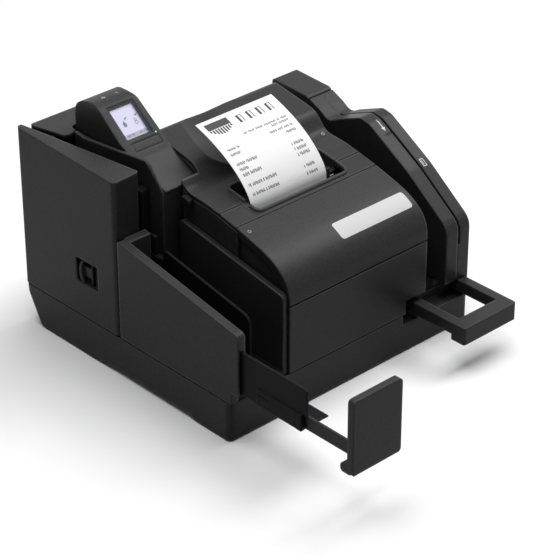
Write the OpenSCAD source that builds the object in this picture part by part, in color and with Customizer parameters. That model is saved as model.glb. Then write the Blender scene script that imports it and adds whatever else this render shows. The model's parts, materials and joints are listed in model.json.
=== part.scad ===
// Desktop cheque scanner with a receipt printer, a pull-out pocket and a card reader.
// Millimetres. X runs to the machine's right, Y to its rear, Z up from the table.
// Outlines are drawn from the front left corner of the base, then moved to the origin.

/* [Housing] */
// width from the left cover to the card reader
body_w = 260; // [220:1:320]
// depth of the base
body_d = 246; // [230:1:300]
// height of the base
base_h = 34.3; // [28:0.1:42]
// height of the left tower
tower_h = 172; // [160:1:190]
// wall of the moulded covers
wall = 2.6; // [2:0.1:3.2]

/* [Pocket] */
// how far the pocket tray stands out in front of the base
tray_reach = 79; // [60:1:95]
// how far the stop plate stands out beyond the tray
stop_reach = 49.6; // [35:0.1:60]
// height of the stop plate above the table
stop_h = 98.5; // [80:0.5:110]

/* [Printer] */
// width of the receipt paper
paper_w = 79.5; // [57:0.5:80]
// radius of the fresh paper roll
roll_r = 36; // [24:1:37]
// radius of the paper feed roller
platen_r = 7; // [5:0.1:7.5]

/* [Feeder] */
// how far the document support stands out in front of the base
support_reach = 54; // [40:1:60]

/* [Card reader] */
// width of the card slot
slot_w = 2.4; // [1.6:0.1:3.2]
// depth of the card slot
slot_d = 16; // [10:0.5:18]

/* [Hidden] */
$fn = 40;

case_c = [0.20, 0.20, 0.21];
dark_c = [0.09, 0.09, 0.10];
metal_c = [0.70, 0.71, 0.73];
rubber_c = [0.14, 0.14, 0.15];
paper_c = [0.95, 0.95, 0.93];
board_c = [0.10, 0.32, 0.20];
screen_c = [0.88, 0.88, 0.97];
amber_c = [0.55, 0.56, 0.58];

// stations that follow the main sizes
right = body_w - 260;
rear = body_d - 246;
lift = base_h - 34.3;
rise = tower_h - 172;
case_x0 = 61;
case_x1 = 209 + right;
mid_x = (case_x0 + case_x1) / 2;
paper_x = mid_x - 6;
wall_x = 234 + right;
leg_y = 233.5 + rear;
turn_y = 205.5 + rear;
gap = 1.7;
stop_y = -tray_reach - stop_reach;

// the left cover's path face leans in plan, from its front edge to the rear corner
lean = atan(23 / (rear + 110));
function face_x(y) = 29 - tan(lean) * (y - 131);

// puts a drawing on the shared origin, under the middle of the box of the whole part
module at() translate([-body_w / 2, -(stop_y + body_d + 0.6) / 2, 0]) children();
module raised() translate([0, 0, lift]) children();
module up() at() raised() children();

// closed outline with the corners rounded by their third number
function soft(p) = [for (i = [0 : len(p) - 1])
  let(n = len(p), q = p[i], a = p[(i + n - 1) % n], b = p[(i + 1) % n], r = len(q) > 2 ? q[2] : 0)
  each r <= 0 ? [[q[0], q[1]]] : arc_at([q[0], q[1]], [a[0], a[1]], [b[0], b[1]], r)];
function arc_at(c, a, b, r) =
  let(u = (a - c) / norm(a - c), v = (b - c) / norm(b - c), h = acos(u * v) / 2)
  let(m = (u + v) / norm(u + v), o = c + m * r / sin(h))
  let(s = c + u * r / tan(h) - o, e = c + v * r / tan(h) - o)
  let(s0 = atan2(s[1], s[0]), sw = ((atan2(e[1], e[0]) - s0 + 540) % 360) - 180)
  let(k = max(2, ceil(abs(sw) / 20)))
  [for (j = [0 : k]) o + r * [cos(s0 + sw * j / k), sin(s0 + sw * j / k)]];

// open outline moved to its right hand by t, and the closed band between the two
function beside(p, t) = [for (i = [0 : len(p) - 1])
  let(a = p[max(i - 1, 0)], b = p[min(i + 1, len(p) - 1)], d = (b - a) / norm(b - a))
  p[i] + t * [d[1], -d[0]]];
function band(p, t) = let(q = beside(p, t)) concat(p, [for (i = [len(q) - 1 : -1 : 0]) q[i]]);
function arc(c, r, a0, a1, k) = [for (j = [0 : k])
  c + r * [cos(a0 + (a1 - a0) * j / k), sin(a0 + (a1 - a0) * j / k)]];

// open outline with its corners cut twice, which leaves a smooth curve through its sides
function cut_corners(p) = concat([p[0]],
  [for (i = [0 : len(p) - 2]) each [p[i] * 0.75 + p[i + 1] * 0.25, p[i] * 0.25 + p[i + 1] * 0.75]],
  [p[len(p) - 1]]);
function eased(p) = cut_corners(cut_corners(p));

// an outline carried along X, up Z or along Y, and plain blocks and rods
module side(x0, x1, p) translate([x0, 0, 0]) rotate([90, 0, 90]) linear_extrude(x1 - x0) polygon(p);
module plan(z0, z1, p) translate([0, 0, z0]) linear_extrude(z1 - z0) polygon(p);
module face(y0, y1, p) translate([0, y1, 0]) rotate([90, 0, 0]) linear_extrude(y1 - y0) polygon(p);
module block(a, b) translate(a) cube(b - a);
module rod_x(x0, x1, y, z, r) translate([x0, y, z]) rotate([0, 90, 0]) cylinder(h = x1 - x0, r = r);
module rod_y(y0, y1, x, z, r) translate([x, y0, z]) rotate([-90, 0, 0]) cylinder(h = y1 - y0, r = r);
module rod_z(z0, z1, x, y, r) translate([x, y, z0]) cylinder(h = z1 - z0, r = r);

// local axes on the left cover's path face: x out of the face, y along it to the rear
module on_guide() translate([29, 131, 0]) rotate([0, 0, lean]) children();
// local axes on the sloping face of the hood: x along the machine, y up the slope, z out
module on_face() translate([58, 177, 185.8 + rise]) rotate([38.66, 0, 0]) children();

// Outlines taken from the side
// pivot of the roll cover, pivot of the front cover and the reach of its lower lip
hinge_pos = [171, 140];
tip_pos = [4.4, 97.4];
tip_swing = 5.8;
// front cover from its top seam down to its lower seam
cover_line = concat(eased([[57.9, 138.2], [50, 136.1], [40, 133.4], [29, 130.2], [20, 126.6],
  [12.4, 122], [6.4, 116.8], [2.5, 111], [0.5, 104.6], [0, 98]]), [[0, 94.9], [0.8, 93.7]]);
// roll cover from its rear edge down over the step to the receipt slot
roll_line = concat([[179.4, 158.3], [179, 163.4]], cut_corners([[178.4, 166], [176.4, 168.2],
  [172.6, 169.2], [168, 168.4]]), cut_corners([[139, 163.4], [134, 162.5], [127.5, 160.7],
  [123.5, 157.4], [119.5, 152.6], [115.4, 148.5], [110, 146.6], [104, 146.2]]),
  [[92, 145.2], [77.7, 142.6]]);
// card reader wall from the rear cover over the saddle and down the slope to the front
reader_line = soft([[rear + 204, 34.3], [rear + 204, 152.8, 2], [162, 151.6, 8], [148, 145.4, 8],
  [137.5, 138.8, 9], [127, 144.6, 12], [101, 155.4, 9], [91, 153.4, 9], [47, 127, 30], [2, 93, 14],
  [2, 34.3]]);
// hood and the slope in front of it, from the lower rear over the top to the front
hood_line = concat([[rear + 222, 168.9], [rear + 221.6, 174]], eased([[rear + 220.4, 183],
  [rear + 219.4, 189], [rear + 216.6, 193.8], [rear + 211.4, 196.8], [rear + 204, 198], [199, 198.4],
  [193.5, 197.6], [188.6, 195.08], [186, 193]]), eased([[154, 167.4], [151, 165], [147.6, 163.2]]),
  [[136, 157], [121.6, 149.6]]);

// Base
module base_housing() color(case_c) at() difference() {
  union() {
    difference() {
      intersection() {
        side(0, body_w, soft([[0, 0.8, 2], [38.4, 0.8], [47.6, 5, 4], [132, 5, 20], [159, 0.8],
          [rear + 227.6, 0.8, 5], [rear + 246.3, base_h], [0, base_h]]));
        plan(0, base_h, soft([[0, 0, 5], [body_w, 0, 5], [body_w, rear + 246.3, 10],
          [0, rear + 246.3, 5]]));
      }
      side(3, body_w - 3, [[3, 8.2], [rear + 227, 8.2], [rear + 243.2, base_h + 1], [3, base_h + 1]]);
      for (x = [22, body_w - 22], y = [16, rear + 205]) rod_z(-1, 2.3, x, y, 8.3);
    }
    // walls round the pull-out support, and the two runs that its bars slide on
    raised() block([right + 181, 3, 23], [right + 257, 16.8, 34.3]);
    for (x = [196.4, 247.6]) raised() block([right + x, 16.8, 27], [right + x + 10, 88, 30.8]);
    for (x = [196.4, 247.6], y = [24, 80]) block([right + x, y, 8.2], [right + x + 10, y + 3, lift + 27]);
    // posts for the deck and the circuit board
    for (x = [10, 70, 130, right + 174]) rod_z(8.2, base_h - 3, x, 12, 4);
    for (x = [10, 70, right + 210, right + 248]) rod_z(8.2, base_h - 3, x, rear + 232, 4);
    rod_z(8.2, base_h - 3, 10, 120, 4);
    for (x = [44, 166], y = [rear + 128, rear + 214]) rod_z(8.2, 14, x, y, 3);
  }
  raised() block([right + 184, -1, 25.7], [right + 257, 14.4, 36]);
  for (x = [196.9, 248.2]) raised() block([right + x, 14, 30.8], [right + x + 9, 17, 36]);
  // opening for the rear sockets
  block([88, rear + 229.7, 13], [192, rear + 260, 30]);
}

module rubber_feet() color(rubber_c) at() for (x = [22, body_w - 22], y = [16, rear + 205])
  translate([x, y, 0]) cylinder(h = 2.3, r1 = 7.4, r2 = 8);

module deck_plate() color(metal_c) up() difference() {
  block([3.2, 3.2, 31.3], [right + 256.8, rear + 240.6, 34.3]);
  block([right + 180.8, 3, 31], [right + 257, 17, 35]);
  for (x = [196.9, 248.2]) block([right + x, 16, 31], [right + x + 9, 88, 35]);
  for (x = [116, 150]) rod_z(31, 35, x, rear + 160, 9);
}

module main_board() color(board_c) at() {
  block([40, rear + 124, 14], [200, rear + 221, 15.6]);
  block([60, rear + 140, 15.6], [84, rear + 164, 18]);
  block([100, rear + 150, 15.6], [116, rear + 166, 17.4]);
  for (x = [130, 142, 154]) rod_z(15.6, 25, x, rear + 150, 4);
}

module connector_panel() color(metal_c) at() {
  difference() {
    union() {
      block([88.2, rear + 228.6, 12.6], [191.8, rear + 229.6, base_h - 4.2]);
      block([172.6, rear + 222, 13.6], [189.4, rear + 229.6, 25.4]);
    }
    for (x = [97, 119, 141]) block([x, rear + 228, 15.4], [x + 13, rear + 230, 23]);
    rod_y(rear + 228, rear + 231, 166, 20.2, 4.6);
    block([174, rear + 223.4, 15], [188, rear + 230, 24]);
  }
  // pin of the rocker switch
  rod_x(173, 189, rear + 227, 19.4, 1);
}

module port_sockets() color(metal_c) at() {
  for (x = [97.2, 119.2, 141.2]) difference() {
    block([x, rear + 216, 15.6], [x + 12.6, rear + 230.4, 22.8]);
    block([x + 1, rear + 218, 16.6], [x + 11.6, rear + 231, 21.8]);
  }
  difference() {
    union() {
      block([161, rear + 216, 15.6], [171, rear + 228.4, 24.6]);
      rod_y(rear + 216, rear + 230.4, 166, 20.2, 4.4);
    }
    rod_y(rear + 218, rear + 232, 166, 20.2, 3.2);
  }
  rod_y(rear + 216, rear + 228, 166, 20.2, 1);
}

module power_switch() color(dark_c) at() difference() {
  side(174.4, 187.6, [[rear + 225, 16.6], [rear + 229.8, 15.8], [rear + 231.2, 17.4],
    [rear + 230, 19.4], [rear + 231.2, 23], [rear + 225, 22.2]]);
  rod_x(174, 188, rear + 227, 19.4, 1.06);
}

// Left side cover and what it carries
hinge_y = rear + 242.3;
module left_side_cover() color(case_c) up() difference() {
  union() {
    difference() {
      plan(35.4, rise + 176, soft([[0, 128.3, 3.5], [27, 130.1, 2.5], [face_x(rear + 241), rear + 241],
        [4.8, rear + 246, 1], [0, rear + 246, 3]]));
      plan(37.4, rise + 167, [[wall, 131], [24, 133], [face_x(134) + 4, 134],
        [face_x(rear + 226) + 4, rear + 226], [face_x(rear + 226) - 4, rear + 234], [wall, rear + 239]]);
    }
    // cup behind the finger recess
    side(1, 7.5, soft([[149.8, 62.8, 4], [180.2, 62.8, 4], [180.2, 89.2, 4], [149.8, 89.2, 4]]));
    // hinge eyes
    for (z = [41, rise + 156.3]) {
      rod_z(z, z + 4.7, 8.5, hinge_y, 3.4);
      block([3, hinge_y - 2.6, z], [8.5, hinge_y + 2.6, z + 4.7]);
    }
  }
  // sloping top
  side(-1, 40, [[120, rise + 170.2], [rear + 250, rise + 175.4], [rear + 250, rise + 180],
    [120, rise + 180]]);
  // finger recess, flush in front and deep behind the latch
  intersection() {
    plan(60, 90, soft([[-1, 150.2], [5.9, 161.2, 2], [5.9, 178.4, 1], [-1, 178.4]]));
    side(-1, 6, soft([[149, 65, 1], [178.4, 65, 2.5], [178.4, 87, 2.5], [149, 87, 1]]));
  }
  rod_z(63.6, 88.4, 4.4, latch_y, 1.04);
  for (z = [41, rise + 156.3]) rod_z(z - 1, z + 6, 8.5, hinge_y, 1.86);
}

module left_cover_guide() color(dark_c) up() on_guide() difference() {
  union() {
    block([-2.4, 3.4, 37.6], [0, rear + 95, rise + 166.8]);
    for (z = [52, 146]) block([-8, 56, z], [-2.4, 64, z + 4]);
  }
  block([-3, 21.8, 44.8], [1, 38.2, 160.2]);
  for (z = [62, 122]) block([-3, 53.6, z - 1], [1, 66.4, z + 15]);
  rod_z(51, 151, -4.4, 60, 1.56);
}

module left_image_sensor() color(dark_c) up() on_guide() difference() {
  block([-11, 22, 45], [-0.3, 38, 160]);
  block([-1.6, 27, 50], [0, 33, 155]);
}

module left_pinch_rollers() color(rubber_c) up() on_guide() {
  rod_z(50, 152, -4.4, 60, 1.5);
  for (z = [62, 122]) rod_z(z, z + 13.4, -4.4, 60, 5.7);
}

// crescent grip that turns on a short upright pin at its front end
latch_y = 163.4;
module cover_latch() color(dark_c) up() {
  side(0.7, 3.2, concat(arc([161.4, 75.2], 14.7, -42, 42, 8), arc([153.9, 75.2], 19.2, 31, -31, 6)));
  block([3.2, latch_y - 0.8, 71], [5.5, 173, 80]);
  rod_z(64.2, 87.8, 4.4, latch_y, 1);
}

// Left tower, with the path's inner wall
left_edge = [[40, 135.4], [29.6, 199], [31, rear + 212], [43.5, leg_y - gap]];
module left_casing() color(case_c) up() difference() {
  plan(34.3, rise + 172, concat([[78, 121.8], [78, leg_y - gap]],
    [for (i = [3 : -1 : 0]) left_edge[i]], [[43, 122]]));
  // seat of the hood behind the thin rim
  intersection() {
    side(30, 79, [[100, rise + 136], [120, rise + 146.2], [136, rise + 154.2], [151, rise + 162.2],
      [164, rise + 168.6], [rear + 240, rise + 168.6], [rear + 240, rise + 180], [100, rise + 180]]);
    plan(100, rise + 190, [[45.4, 110], [79, 110], [79, rear + 240], [20, rear + 240],
      [20, rear + 212], [34.2, rear + 212], [32.2, 199], [42.6, 135.8]]);
  }
  side(28, 50, [[100, rise + 136], [120, rise + 146.2], [135, rise + 169], [138.5, rise + 172],
    [138.5, rise + 180], [100, rise + 180]]);
  plan(33, rise + 140, [[48, 142], [75, 126], [75, rear + 218], [46, rear + 218], [38, 198]]);
}

module path_inner_guide() color(dark_c) up() difference() {
  plan(37, 150, concat([[31.63, 133.08], [18.43, 196.2]], arc([43.5, turn_y], 26.3, 191.8, 90, 9),
    [for (i = [2 : -1 : 0]) left_edge[i]]));
  on_guide() {
    for (z = [62, 122]) rod_z(z - 0.6, z + 14, 7.2, 60, 6.1);
    rod_z(36, 151, 7.2, 60, 2.06);
  }
}

module left_drive_rollers() color(rubber_c) up() on_guide() {
  rod_z(34.5, 149, 7.2, 60, 2);
  for (z = [62, 122]) rod_z(z, z + 13.4, 7.2, 60, 5.4);
}

// Hood with the display
module hood() color(case_c) up() translate([0, 0, rise]) difference() {
  intersection() {
    side(37, 79, concat(hood_line, [[121.6, 147.3], [136, 154.5], [151, 162.5], [164, 168.9]]));
    plan(140, 205, soft([[38, rear + 223, 5], [78, rear + 223, 6], [78, 121], [45.7, 121], [42.9, 135.9],
      [39, 160.5], [38.5, 163], [38, 166]]));
    face(118, rear + 224, soft([[36, 140], [79, 140], [78, 168.9, 30], [75.8, 199.4, 5], [38.6, 199.4, 5],
      [37.4, 168.9]]));
  }
  side(41.4, 73.6, [[rear + 218, 168], [rear + 216.6, 187], [rear + 214.2, 191], [rear + 210.4, 193.4],
    [rear + 204, 194.6], [199.6, 195], [194.8, 194.5], [190.8, 193.2], [159.4, 168]]);
  translate([0, 0, -rise]) on_face() {
    block([-11.8, -14.2, -4], [11.8, 14.2, 2]);
    block([-13.2, -16, -1.2], [13.2, 16, 2]);
    block([-11, -26.2, -2.8], [16, -18.6, 2]);
  }
}
module hood_window() color(screen_c) up() on_face() block([-13, -15.8, -1.15], [13, 15.8, -0.15]);
module display_module() color(screen_c) up() on_face() block([-13.6, -17, -7], [13.6, 14.8, -3]);
module menu_key() color(case_c) up() on_face() block([-10.8, -26, -1.7], [15.8, -18.8, -0.25]);

// Rear of the paper path
module rear_casing() color(case_c) up() difference() {
  union() {
    plan(34.3, 118, concat([[12.2, rear + 246], [13.2, rear + 212], [14.5, rear + 212]],
      arc([43.5, turn_y], 29.7, 165, 90, 7), arc([right + 204.3, turn_y], 29.7, 90, 0, 8),
      [[right + 234, rear + 204.4], [body_w, rear + 204.4]],
      arc([body_w - 10, rear + 236], 10, 0, 90, 5)));
    plan(117, rise + 168.6, concat([[12.2, rear + 246], [13.2, rear + 212], [14.5, rear + 212]],
      arc([43.5, turn_y], 29.7, 165, 90, 7), [[78, leg_y + gap], [78, rear + 246]]));
    // hinge brackets and pins of the left cover
    for (z = [46, rise + 150]) {
      rod_z(z, z + 6, 8.5, hinge_y, 2.3);
      block([8.5, hinge_y - 2.2, z], [13, hinge_y + 2.2, z + 6]);
    }
    rod_z(41.3, 46, 8.5, hinge_y, 1.8);
    rod_z(rise + 156, rise + 160.8, 8.5, hinge_y, 1.8);
  }
  block([right + 236.6, rear + 207, 33], [body_w - 2.6, rear + 234, 115]);
}

module rear_inner_casing() color(dark_c) up() difference() {
  plan(34.3, 118, concat([[78.3, 178.4], [78.3, leg_y - gap]],
    arc([right + 204.3, turn_y], 26.3, 90, 0, 8),
    [[right + 230.6, 152.2], [right + 210, 152.2], [right + 210, 178.4]]));
  block([92, 184, 33], [right + 198, rear + 217, 114]);
  for (z = [60, 90]) {
    rod_z(z - 0.6, z + 14, 150, rear + 226.8, 6.1);
    rod_z(z - 0.6, z + 14, right + 225.6, 188, 6.1);
  }
  rod_z(33, 119, 150, rear + 226.8, 2.06);
  rod_z(33, 119, right + 225.6, 188, 2.06);
}

module rear_top_cover() color(case_c) up() plan(rise + 169, rise + 172, soft([[21.5, rear + 213.6, 2],
  [13.4, rear + 246.6, 2], [78, rear + 246.6, 2], [78, rear + 222.4], [35.5, rear + 222.4, 3],
  [33, rear + 213.2, 3], [27, rear + 212.2, 2]]));

module rear_drive_rollers() color(rubber_c) up() {
  rod_z(34.5, 117, 150, rear + 226.8, 2);
  for (z = [60, 90]) rod_z(z, z + 13.4, 150, rear + 226.8, 5.5);
}
module right_feed_rollers() color(rubber_c) up() {
  rod_z(34.5, 117, right + 225.6, 188, 2);
  for (z = [60, 90]) rod_z(z, z + 13.4, right + 225.6, 188, 5.5);
}

// Pocket
module pocket_outer_panel() color(case_c) up() difference() {
  union() {
    side(0, 7.4, soft([[126.6, 34.6], [126.6, 121.8, 1.5], [-9.5, 98.3, 4], [-9.5, 45.7, 1.5],
      [-2.1, 45.7], [-1, 34.6]]));
    side(7.4, 28, [[120, 34.6], [120, 120.7], [126.6, 121.8], [126.6, 34.6]]);
  }
  // shadow line over the base
  block([-1, -12, 34], [2, 130, 35.4]);
  // slot that takes the tray, and the groove for the stop's rail
  block([1.7, -10, 46.4], [5.6, 76, 84.2]);
  block([5.5, -10, 46.4], [8, 76, 62.8]);
}
gate_x = 33.6;
gate_y = 121;
module pocket_floor() color(dark_c) up() difference() {
  union() {
    block([7.4, 0.3, 34.3], [56, 119.8, 39.6]);
    block([28.2, 119, 34.3], [38, 124.6, 39.6]);
  }
  rod_z(36, 41, gate_x, gate_y, 1.66);
}
module pocket_inner_wall() color(case_c) up() side(56, 60.6, soft([[118, 34.3], [118, 123.5, 2],
  [2, 104, 4], [2, 34.3]]));
module pocket_divider() color(dark_c) up() difference() {
  union() {
    side(33, 35, soft([[112, 39.6], [112, 108, 4], [14, 90, 8], [14, 39.6]]));
    block([31.4, 111, 96], [35.8, 123.4, 100]);
  }
  rod_z(95, 101, gate_x, gate_y, 1.66);
}
module pocket_gate() color(dark_c) up() {
  rod_z(36.2, 116, gate_x, gate_y, 1.6);
  for (z = [[44, 94.6], [101.4, 116]]) plan(z[0], z[1], [[gate_x - 1.2, gate_y], [gate_x + 1.2, gate_y],
    [gate_x - 0.2, gate_y + 10.4], [gate_x - 1, gate_y + 10.4]]);
}

module pocket_tray() color(dark_c) up() {
  // upright plate and the thin floor that joins it
  side(3.3, 5.3, soft([[8, 46.9], [8, 83.6], [-tray_reach, 83.6, 2], [-tray_reach, 61.2],
    [4.6 - tray_reach, 61.2], [4.6 - tray_reach, 46.9]]));
  block([5.3, 5 - tray_reach, 46.9], [30, 2, 48.1]);
  // rail housing on the outside, with its slit
  difference() {
    side(2.1, 3.3, soft([[-26.4, 47], [-26.4, 60.7, 1], [10.2 - tray_reach, 60.7],
      [10.2 - tray_reach, 47]]));
    block([1, -40, 56.6], [2.7, -26, 57.4]);
  }
  side(1.9, 3.3, [[9.8 - tray_reach, 46.9], [9.8 - tray_reach, 60.8], [4.6 - tray_reach, 60.8],
    [4.6 - tray_reach, 46.9]]);
  // lip that holds the stop's rail
  face(5 - tray_reach, 2, [[5.3, 60.3], [5.3, 61.8], [8.6, 61.8], [8.6, 56.5], [7.6, 56.5], [7.6, 60.3]]);
}

module pocket_stopper() color(case_c) up() {
  side(5.5, 7.3, [[stop_y + 5, 48.4], [stop_y + 5, 60], [stop_y + 94, 60], [stop_y + 94, 48.4]]);
  face(stop_y, stop_y + 5.8, soft([[1, 35.2, 2], [50, 35.2, 3], [50, stop_h, 4], [1, stop_h, 3]]));
  side(1, 8, soft([[stop_y + 3, 35.2], [stop_y + 3, 43.5], [stop_y + 12.6, 43.5, 3.5],
    [stop_y + 12.6, 35.2, 3]]));
}

// Receipt printer
module both_sides() for (m = [0, 1]) translate([mid_x, 0, 0]) mirror([m, 0, 0]) translate([-mid_x, 0, 0])
  children();

module front_fascia() color(case_c) up() difference() {
  union() {
    side(case_x0, case_x1, [[1.2, 34.3], [1.2, 35.3], [0, 35.3], [0, 93.4], [0.8, 93], [1.6, 92.6],
      [3, 91.8], [3, 34.3]]);
    both_sides() block([case_x0, 3, 34.3], [case_x0 + 2.6, 12, 91.8]);
    for (x = [100, right + 170]) block([x, 3, 34.3], [x + 2, 9, 88]);
  }
  block([right + 187, -1, 33], [right + 210, 16, 47.4]);
}

module printer_case() color(case_c) up() difference() {
  union() {
    both_sides() {
      side(case_x0, case_x0 + 2.6, [[12.2, 34.3], [12.2, 92.4], [58, 92.4], [58, 134.6],
        [77.6, 142 - wall], [92, 144.4 - wall], [109, 145.2 - wall], [114.5, 146.6 - wall],
        [119.4, 151 - wall], [119.4, 34.3]]);
      // inner cheek, cut away where the front cover's lower lip swings under its pins
      difference() {
        side(case_x0 + 3.2, case_x0 + 5.8, concat([[3.2, 50]], [for (i = [len(cover_line) - 4 : -1 : 0])
          beside(cover_line, -wall - 0.4)[i]], [[57.9, 50]]));
        side(case_x0 + 3, case_x0 + 6, concat(arc(tip_pos, tip_swing, 178, 335, 9),
          arc(tip_pos, 1.5, 335, 178, 6)));
      }
      block([case_x0 + 2.6, 12.2, 50], [case_x0 + 3.2, 58, 92.4]);
      rod_x(case_x0 + 0.4, case_x0 + 5.8, tip_pos[0], tip_pos[1], 1.2);
      // hinge stubs of the roll cover
      rod_x(case_x0 + 23, case_x0 + 33, hinge_pos[0], hinge_pos[1], 2);
      block([case_x0 + 23, 167.6, 134], [case_x0 + 27.2, 176, 144]);
    }
    for (x = [78.4, case_x1 - 2.4]) side(x, x + 2.4, [[119, 34.3], [119, 147.6], [121.4, 150],
      [127.5, 156],
      [134, 159], [152, 162.6], [171.4, 165.4], [175.4, 157.5], [178, 157.5], [178, 34.3]]);
    block([78.4, 175.6, 34.3], [case_x1, 178, 157.5]);
    // cross walls
    block([case_x0 + 2.4, 119, 34.3], [80.6, 121.4, 140]);
    block([case_x0 + 2.4, 12.4, 34.3], [right + 195, 18, 38]);
  }
  block([right + 196, -1, 33], [right + 210, 16, 43]);
  rod_x(case_x0 - 1, case_x0 + 4, 112, 139.5, 1.56);
  // slots that the arms of the roll cover swing through
  both_sides() block([case_x0 + 27.2, 175, 134], [case_x0 + 32.2, 179, 160]);
}

slot_x0 = case_x0 + 27;
slot_x1 = case_x1 - 27;
slot_y0 = 63.6;
slot_y1 = 98.2;
bead = 2.1;
// outline of the receipt slot seen from above, grown by t
function slot_line(t) = soft([[slot_x0 - t, slot_y0 - t, 4 + t], [slot_x1 + t, slot_y0 - t, 4 + t],
  [slot_x1 + t, slot_y1 + t, 4 + t], [slot_x0 - t, slot_y1 + t, 4 + t]]);
module front_bezel() color(case_c) up() difference() {
  union() {
    difference() {
      union() {
        side(case_x0, case_x1, [[58.7, 138.4], [77, 142.4], [77, 139.8], [58.7, 135.8]]);
        // raised bead round the front half of the receipt slot
        intersection() {
          side(slot_x0 - 5, slot_x1 + 5, [[61.2, 137], [61.2, 140.4], [62.2, 141.2], [77, 144.5],
            [77, 140]]);
          plan(134, 150, slot_line(bead));
        }
      }
      plan(130, 150, slot_line(0));
    }
    // ledge that the paper is torn against
    block([slot_x0 - 1, 62.6, 135.1], [slot_x1 + 1, 68.4, 137.2]);
  }
  // notch that the feed roller's left bearing rises through
  block([slot_x0 - 5.6, 71.4, 130], [slot_x0 + 1, 78, 150]);
}

module front_cover() color(case_c) up() difference() {
  union() {
    side(case_x0, case_x1, band(cover_line, -wall));
    both_sides() side(case_x0 + 0.9, case_x0 + 2.6, band(cover_line, -7.4));
  }
  block([case_x0 - 1, 57.9, 120], [case_x1 + 1, 66, 142]);
  both_sides() rod_x(case_x0 - 1, case_x0 + 3, tip_pos[0], tip_pos[1], 1.26);
}

roll_y = 132;
cradle_z = 111;
module paper_tub() color(dark_c) up() difference() {
  union() {
    block([paper_x - 43.2, 92, 34.3], [paper_x + 43.2, 175.2, 90]);
    block([paper_x - 43.2, 165, 90], [paper_x + 43.2, 175.2, 126]);
    for (x = [-43.2, 40.8]) side(paper_x + x, paper_x + x + 2.4, [[96, 89], [104, 126], [170, 126],
      [170, 89]]);
  }
  rod_x(paper_x - 40.8, paper_x + 40.8, roll_y, cradle_z, 38.5);
  block([paper_x - 40, 95, 33], [paper_x + 40, 172, 69]);
}

module paper_roll() color(paper_c) up() difference() {
  rod_x(paper_x - paper_w / 2, paper_x + paper_w / 2, roll_y, cradle_z - 38.2 + roll_r, roll_r);
  rod_x(paper_x - 50, paper_x + 50, roll_y, cradle_z - 38.2 + roll_r, 6);
}

receipt_line = concat([[72.5, 124.8]], eased([[72.5, 134], [72.7, 140.6], [75, 146.2], [78.5, 151.1],
  [83, 156.3], [88.5, 161.5], [95, 166.5], [103, 171.7], [112, 176.5], [123, 181.3], [136, 185.8]]));
module receipt() color(paper_c) up()
  side(paper_x - paper_w / 2, paper_x + paper_w / 2, band(receipt_line, 0.4));

// shallow round valley that the receipt falls back into
module valley(extra) translate([mid_x, 97, 141]) rotate([-73.1, 0, 0]) translate([0, -90, -70])
  cylinder(h = 240, r = 90 + extra, $fn = 120);

module roll_cover() color(case_c) up() {
  difference() {
    union() {
      difference() {
        side(case_x0, case_x1, band(roll_line, -wall));
        valley(0);
      }
      // lining of the valley
      intersection() {
        difference() {
          valley(wall);
          valley(0);
        }
        side(case_x0 + 10, case_x1 - 10, concat(roll_line, [[98, 136], [176, 158]]));
        block([case_x0, 97.4, 130], [case_x1, 180, 175]);
      }
      // well behind the receipt
      block([slot_x0 - 1.6, 77.7, 134.4], [slot_x1 + 1.6, 99.8, 143]);
      // raised bead round the rear half of the slot
      intersection() {
        side(slot_x0 - 5, slot_x1 + 5, [[77.7, 140], [77.7, 144.6], [92, 147], [101, 147.8], [101, 140]]);
        plan(134, 150, slot_line(bead));
      }
      // tongue that fills the notch of the front strip
      side(slot_x0 - 5.2, slot_x0, [[72, 141.3], [77.2, 142.5], [80, 143], [80, 140.4], [72, 138.7]]);
      // arms with the bores of the feed roller
      for (x = [paper_x - 44.4, paper_x + 43.8]) side(x, x + 2.8, soft([[76, 121.6, 3], [84, 121.6, 3],
        [84, 141], [76, 141]]));
      // arms with the bores of the hinge
      both_sides() side(case_x0 + 27.7, case_x0 + 31.7, soft([[166.4, 164.6], [175, 166], [175.2, 136, 4],
        [166.8, 136, 4]]));
    }
    intersection() {
      plan(136, 150, slot_line(0));
      block([slot_x0 - 1, 77, 136], [slot_x1 + 1, slot_y1 + 1, 150]);
    }
    block([case_x0 - 1, 121.2, 120], [78.4, 190, 180]);
    rod_x(case_x0, case_x1, 80, 126, 2.56);
    rod_x(case_x0, case_x1, hinge_pos[0], hinge_pos[1], 2.06);
  }
}

module platen_roller() color(rubber_c) up() {
  rod_x(paper_x - 40.4, paper_x + 42.6, 80, 126, platen_r);
  rod_x(paper_x - 45.2, paper_x + 52, 80, 126, 2.5);
}

// spur gear with n teeth of module m, bored r
module gear(n, m, h, bore) difference() {
  linear_extrude(h) polygon([for (i = [0 : n - 1], k = [0 : 3])
    let(a = 360 / n * (i + [0.02, 0.14, 0.36, 0.48][k]),
        q = n * m / 2 + [-1.1 * m, 0.9 * m, 0.9 * m, -1.1 * m][k])
    q * [cos(a), sin(a)]]);
  translate([0, 0, -1]) cylinder(h = h + 2, r = bore);
}
gear_m = 0.8;
module platen_gear() color(amber_c) up() translate([paper_x + 47.6, 80, 126]) rotate([0, 90, 0])
  gear(18, gear_m, 4, 2.52);
drive_y = 80 + 19.5 * cos(66);
drive_z = 126 - 19.5 * sin(66);
module drive_gear() color(amber_c) up() translate([paper_x + 47.6, drive_y, drive_z]) rotate([0, 90, 0])
  rotate([0, 0, 2.4]) gear(30, gear_m, 4, 1.56);

module paper_motor() color(metal_c) up() {
  rod_x(paper_x + 46.6, paper_x + 56, drive_y, drive_z, 1.5);
  rod_x(paper_x + 54, paper_x + 72, drive_y, drive_z, 11);
  block([paper_x + 56, drive_y - 9, 34.3], [paper_x + 58, drive_y + 9, drive_z]);
  block([paper_x + 56, drive_y - 9, 34.3], [paper_x + 66, drive_y + 9, 36.3]);
}

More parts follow.
